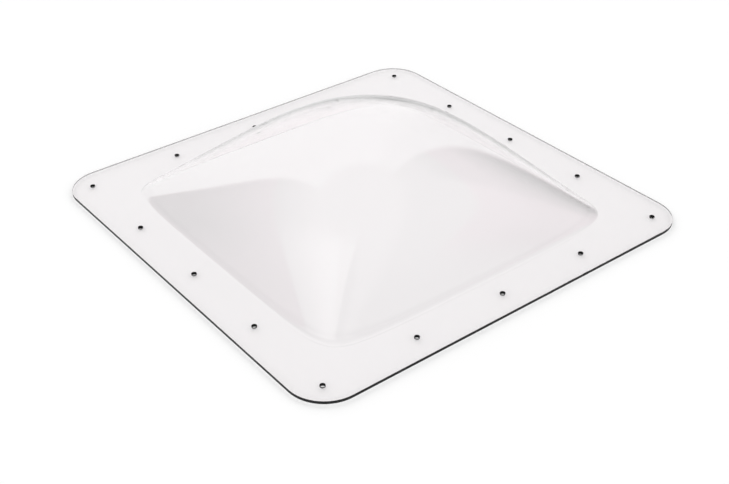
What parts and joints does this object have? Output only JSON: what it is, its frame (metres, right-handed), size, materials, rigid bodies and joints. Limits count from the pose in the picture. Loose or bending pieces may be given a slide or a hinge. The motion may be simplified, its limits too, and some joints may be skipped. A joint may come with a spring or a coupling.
{
  "type": "rv skylight",
  "caption": "Clear one-piece roof skylight: a blown square dome on a flat flange with rounded corners and a row of screw holes along each side.",
  "frame": {"origin": "centre of the flange's underside, where it rests on the roof", "axes": "+Z out of the roof towards the crown of the dome, +X and +Y square to the flange's sides"},
  "size_m": [0.4572, 0.4572, 0.0957],
  "materials": {
    "clear_sheet": "clear formed polycarbonate sheet, glossy on both faces, with plain sawn and deburred edges"
  },
  "bodies": {
    "root": {"skylight_dome": "clear_sheet"}
  },
  "joints": []
}
